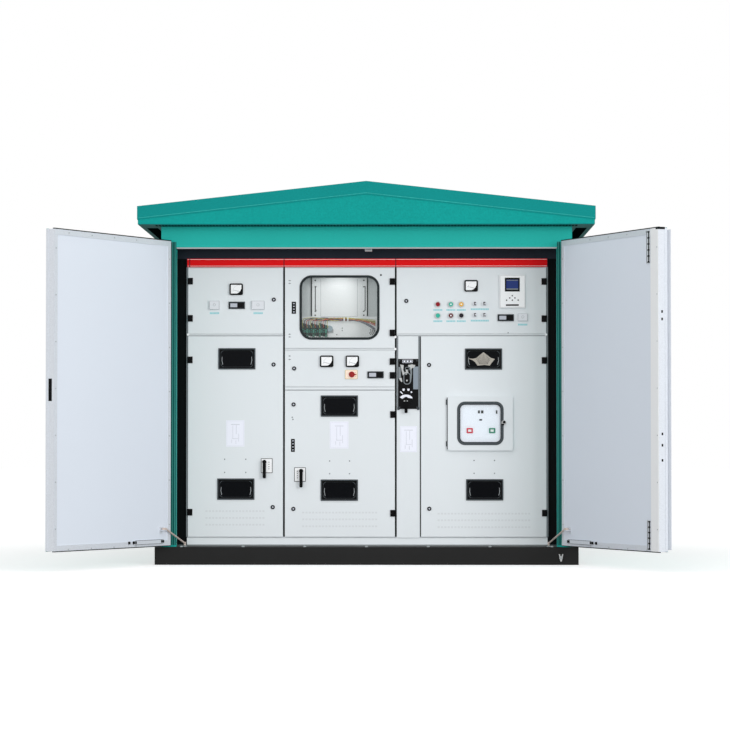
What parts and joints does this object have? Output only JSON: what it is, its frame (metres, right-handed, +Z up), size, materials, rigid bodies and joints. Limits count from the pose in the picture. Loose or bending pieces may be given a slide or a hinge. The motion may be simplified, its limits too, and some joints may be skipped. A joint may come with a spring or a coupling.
{
  "type": "compact substation",
  "caption": "Walk-up compact substation: teal steel shell on a channel base with a low pitched roof, open front leaves and a row of switchgear cubicles.",
  "frame": {"origin": "centre of the base footprint on the ground", "axes": "+X to the right seen from the front, the front faces -Y, +Z up"},
  "size_m": [3.326, 4.3996, 2.165],
  "materials": {
    "teal_paint": "satin",
    "dark_teal_paint": "satin",
    "black_base": "matte",
    "floor_steel": "satin",
    "ceiling_white": "matte",
    "surround_dark": "matte",
    "galvanised": "satin",
    "cubicle_paint": "satin",
    "wiring_plate_paint": "satin",
    "title_red": "satin",
    "knob_red": "gloss",
    "instrument_black": "matte",
    "fitting_black": "satin",
    "seal_rubber": "matte",
    "clear_glass": "gloss",
    "dark_glass": "gloss",
    "leaf_aluminium": "satin",
    "leaf_pale_paint": "satin",
    "stay_copper": "satin"
  },
  "bodies": {
    "substation": {"base_frame": "black_base", "base_cross_members": "black_base", "floor_plate": "floor_steel", "front_frame": "teal_paint", "rear_frame": "teal_paint", "left_wall": "teal_paint", "right_wall": "teal_paint", "left_louvred_doors": "dark_teal_paint", "right_louvred_doors": "dark_teal_paint", "rear_doors": "teal_paint", "roof_skin": "dark_teal_paint", "roof_fascias": "teal_paint", "soffit": "dark_teal_paint", "ceiling": "ceiling_white", "surround_panel": "surround_dark", "lintel_strip": "galvanised", "ground_fittings": "galvanised", "left_cubicle": "cubicle_paint", "middle_cubicle": "cubicle_paint", "right_cubicle": "cubicle_paint", "door_knuckles": "fitting_black", "title_strip": "title_red", "left_upper_door": "cubicle_paint", "left_instruments": "instrument_black", "middle_window_door": "cubicle_paint", "middle_window_seal": "seal_rubber", "middle_window_pane": "clear_glass", "wiring_plate": "wiring_plate_paint", "middle_instrument_door": "cubicle_paint", "middle_instruments": "instrument_black", "right_upper_door": "cubicle_paint", "right_instruments": "instrument_black", "mechanism_panel": "cubicle_paint", "mechanism_plate": "instrument_black"},
    "mechanism_handle": {"mechanism_handle": "fitting_black"},
    "selector_knob": {"selector_knob": "knob_red"},
    "left_lower_door": {"left_lower_door": "cubicle_paint", "left_door_fittings": "fitting_black", "left_door_panes": "dark_glass"},
    "left_door_handle": {"left_door_handle": "fitting_black"},
    "middle_lower_door": {"middle_lower_door": "cubicle_paint", "middle_door_fittings": "fitting_black", "middle_door_panes": "dark_glass"},
    "middle_door_handle": {"middle_door_handle": "fitting_black"},
    "right_lower_door": {"right_lower_door": "cubicle_paint", "right_door_fittings": "fitting_black", "right_door_panes": "dark_glass", "window_box": "cubicle_paint"},
    "left_leaf": {"left_leaf_skin": "teal_paint", "left_leaf_frame": "leaf_aluminium", "left_leaf_panel": "leaf_pale_paint"},
    "left_stay": {"left_stay": "stay_copper"},
    "right_leaf": {"right_leaf_skin": "teal_paint", "right_leaf_frame": "leaf_aluminium", "right_leaf_panel": "leaf_pale_paint", "right_leaf_overlap": "leaf_aluminium"},
    "right_stay": {"right_stay": "stay_copper"}
  },
  "joints": [
    {"name": "left_leaf_hinge", "type": "hinge", "parent": "substation", "child": "left_leaf", "pos_m": [-1.145, -1.595, 1], "axis": [0, 0, -1], "range_deg": [-119, 0]},
    {"name": "right_leaf_hinge", "type": "hinge", "parent": "substation", "child": "right_leaf", "pos_m": [1.145, -1.595, 1], "axis": [0, 0, 1], "range_deg": [-114, 0]},
    {"name": "left_stay_pivot", "type": "hinge", "parent": "left_leaf", "child": "left_stay", "pos_m": [-1.13711, -1.72514, 0.206], "axis": [0, 0, 1], "range_deg": [-178.5, 0]},
    {"name": "right_stay_pivot", "type": "hinge", "parent": "right_leaf", "child": "right_stay", "pos_m": [1.12579, -1.72396, 0.206], "axis": [0, 0, -1], "range_deg": [-177.84, 0]},
    {"name": "left_lower_door_hinge", "type": "hinge", "parent": "substation", "child": "left_lower_door", "pos_m": [-1.035, -1.294, 0.7], "axis": [0, 0, -1], "range_deg": [0, 90]},
    {"name": "middle_lower_door_hinge", "type": "hinge", "parent": "substation", "child": "middle_lower_door", "pos_m": [0.161, -1.294, 0.57], "axis": [0, 0, 1], "range_deg": [0, 90]},
    {"name": "right_lower_door_hinge", "type": "hinge", "parent": "substation", "child": "right_lower_door", "pos_m": [1.035, -1.294, 0.7], "axis": [0, 0, 1], "range_deg": [0, 90]},
    {"name": "left_door_handle_turn", "type": "hinge", "parent": "left_lower_door", "child": "left_door_handle", "pos_m": [-0.592, -1.294, 0.581], "axis": [0, 1, 0], "range_deg": [0, 90]},
    {"name": "middle_door_handle_turn", "type": "hinge", "parent": "middle_lower_door", "child": "middle_door_handle", "pos_m": [-0.38, -1.294, 0.529], "axis": [0, -1, 0], "range_deg": [0, 90]},
    {"name": "mechanism_handle_turn", "type": "hinge", "parent": "substation", "child": "mechanism_handle", "pos_m": [0.225, -1.295, 0.94393], "axis": [0, -1, 0], "range_deg": [0, 90]},
    {"name": "selector_turn", "type": "hinge", "parent": "substation", "child": "selector_knob", "pos_m": [-0.088, -1.294, 1.08524], "axis": [0, 1, 0], "range_deg": [-45, 45]}
  ],
  "couplings": [
    {"joint": "left_stay_pivot", "follows": "left_leaf_hinge", "ratio": 1.5},
    {"joint": "right_stay_pivot", "follows": "right_leaf_hinge", "ratio": 1.56}
  ]
}
